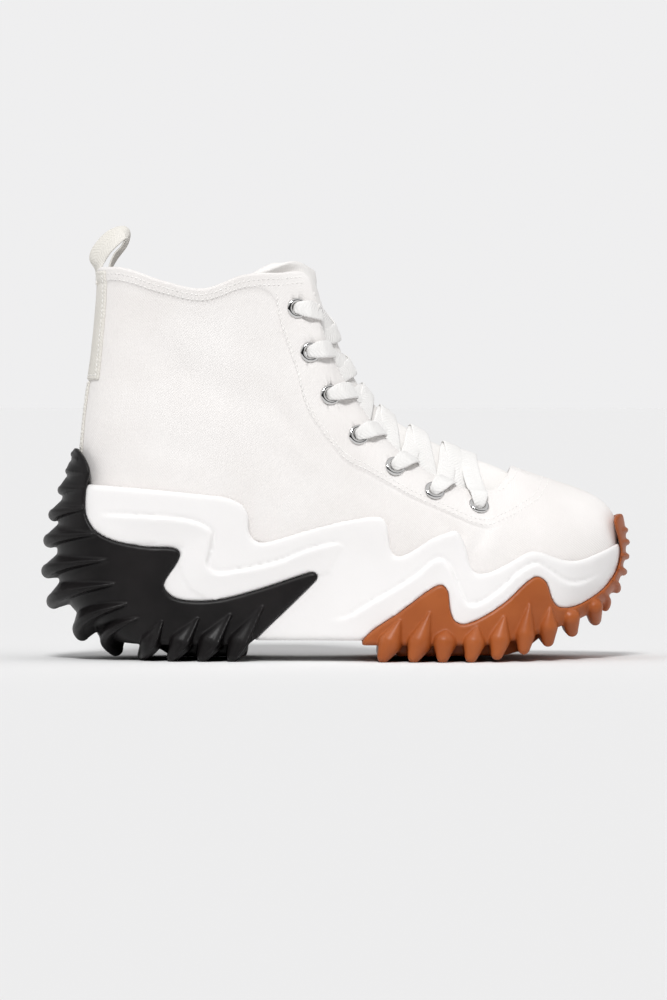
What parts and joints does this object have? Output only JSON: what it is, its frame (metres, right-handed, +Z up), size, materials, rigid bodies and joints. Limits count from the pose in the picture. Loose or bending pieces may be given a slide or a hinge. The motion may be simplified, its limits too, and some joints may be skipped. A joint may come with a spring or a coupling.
{
  "type": "platform sneaker",
  "caption": "High-top canvas platform sneaker for the right foot, laced, with a waved midsole and clawed heel and forefoot outsoles.",
  "frame": {"origin": "on the floor under the middle of the shoe's box", "axes": "+X towards the toe, +Y towards the inner side of the foot, +Z up"},
  "size_m": [0.3, 0.1096, 0.2186],
  "materials": {
    "white_midsole": "matt moulded foam rubber",
    "black_rubber": "satin moulded rubber",
    "gum_rubber": "satin gum rubber",
    "canvas": "plain woven cotton canvas",
    "tongue_cloth": "soft padded canvas",
    "insole_cloth": "plain lining cloth over foam",
    "lace_weave": "flat woven lace",
    "heel_tape": "ribbed cotton tape",
    "eyelet_metal": "polished nickel"
  },
  "bodies": {
    "root": {"midsole": "white_midsole", "outsole_heel": "black_rubber", "outsole_forefoot": "gum_rubber", "insole": "insole_cloth", "upper": "canvas", "tongue": "tongue_cloth", "pull_loop": "heel_tape", "lace_bar": "lace_weave", "lace_cross_1": "lace_weave", "lace_cross_2": "lace_weave", "lace_cross_3": "lace_weave", "lace_cross_4": "lace_weave", "lace_cross_5": "lace_weave", "lace_cross_6": "lace_weave", "eyelet_outer_1": "eyelet_metal", "eyelet_outer_2": "eyelet_metal", "eyelet_outer_3": "eyelet_metal", "eyelet_outer_4": "eyelet_metal", "eyelet_outer_5": "eyelet_metal", "eyelet_outer_6": "eyelet_metal", "eyelet_outer_7": "eyelet_metal", "eyelet_inner_1": "eyelet_metal", "eyelet_inner_2": "eyelet_metal", "eyelet_inner_3": "eyelet_metal", "eyelet_inner_4": "eyelet_metal", "eyelet_inner_5": "eyelet_metal", "eyelet_inner_6": "eyelet_metal", "eyelet_inner_7": "eyelet_metal"}
  },
  "joints": []
}
